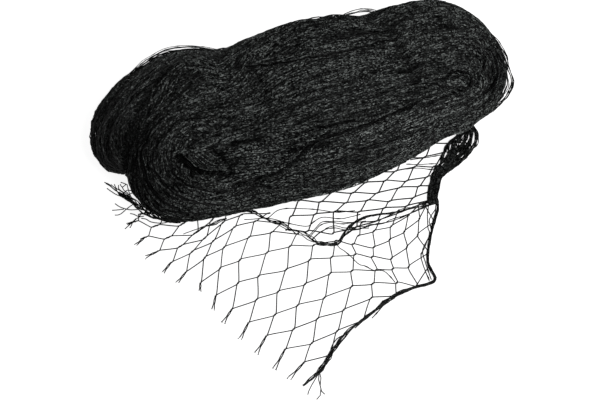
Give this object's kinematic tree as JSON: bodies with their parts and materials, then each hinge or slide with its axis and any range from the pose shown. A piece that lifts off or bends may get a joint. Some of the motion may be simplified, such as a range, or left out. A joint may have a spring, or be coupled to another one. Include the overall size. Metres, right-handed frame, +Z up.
{
  "type": "bird netting",
  "caption": "Long wound hank of black knotted diamond-mesh net lying flat, with its loose end spread in front and gathered back under it.",
  "frame": {"origin": "middle of the hank's flat underside, on the surface that it lies on", "axes": "+X along the hank, +Y away from the spread end, +Z up"},
  "size_m": [0.7827, 0.7042, 0.203],
  "materials": {
    "wound_net": "matt twisted polyethylene twine, wound in many layers",
    "loose_net": "matt twisted polyethylene twine, knotted"
  },
  "bodies": {
    "root": {"hank": "wound_net", "loose_net": "loose_net"}
  },
  "joints": []
}
